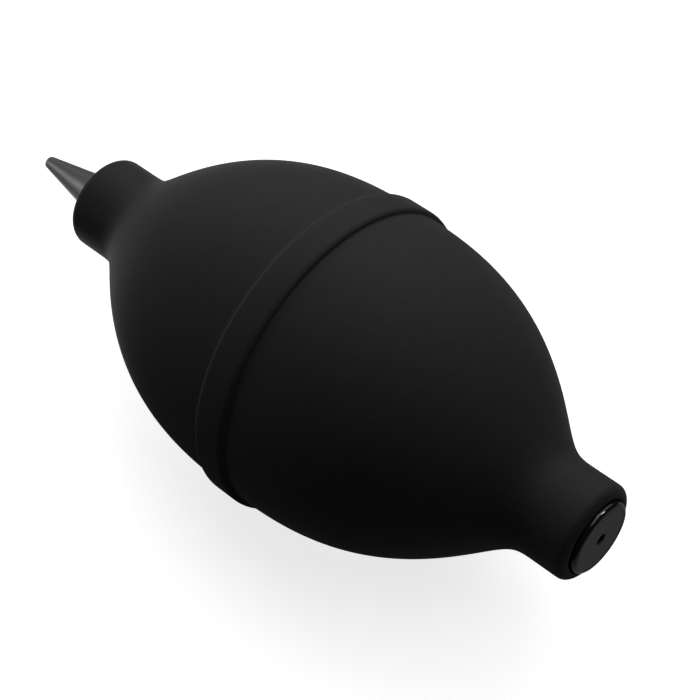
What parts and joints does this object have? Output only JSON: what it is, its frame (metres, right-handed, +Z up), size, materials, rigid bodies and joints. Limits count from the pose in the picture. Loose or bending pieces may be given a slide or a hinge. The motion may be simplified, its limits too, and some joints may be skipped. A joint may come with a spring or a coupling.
{
  "type": "dust blower bulb",
  "caption": "Hand-squeezed rubber bulb with a middle band, a tapered air nozzle at one end and a one-way air inlet plug at the other.",
  "frame": {"origin": "centre of the bounding box's underside: the point on the bench under the bulb's lowest line, half way along its length", "axes": "+X along the bulb's axis from the inlet plug to the nozzle tip, +Z up, with the bulb lying on its band"},
  "size_m": [0.1284, 0.058, 0.058],
  "materials": {
    "silicone_black": "matte moulded silicone with a fine powdery sheen",
    "plug_black": "polished injection-moulded plastic",
    "nozzle_smoke": "satin-gloss smoky moulded plastic",
    "valve_plastic": "natural unpigmented moulded plastic",
    "valve_silicone": "milky soft silicone",
    "filter_foam": "open-cell foam"
  },
  "bodies": {
    "root": {"bulb_shell": "silicone_black", "nozzle_socket": "plug_black", "outlet_valve_seat": "valve_plastic", "outlet_valve_cage": "valve_plastic", "inlet_plug": "plug_black", "inlet_filter": "filter_foam", "inlet_valve_seat": "valve_plastic", "inlet_valve_cage": "valve_plastic"},
    "press_wall": {"squeeze_wall": "silicone_black"},
    "inlet_flap": {"inlet_valve_disc": "valve_silicone"},
    "outlet_flap": {"outlet_valve_disc": "valve_silicone"},
    "jet": {"nozzle": "nozzle_smoke", "nozzle_seal": "silicone_black"}
  },
  "joints": [
    {"name": "bulb_squeeze", "type": "slide", "parent": "root", "child": "press_wall", "axis": [0, 0, -1], "range_m": [0, 0.012], "stiffness_N_per_m": 1500},
    {"name": "inlet_valve_lift", "type": "slide", "parent": "root", "child": "inlet_flap", "axis": [1, 0, 0], "range_m": [0, 0.001]},
    {"name": "outlet_valve_lift", "type": "slide", "parent": "root", "child": "outlet_flap", "axis": [1, 0, 0], "range_m": [0, 0.001]},
    {"name": "nozzle_pull", "type": "slide", "parent": "root", "child": "jet", "axis": [1, 0, 0], "range_m": [0, 0.0075]}
  ]
}
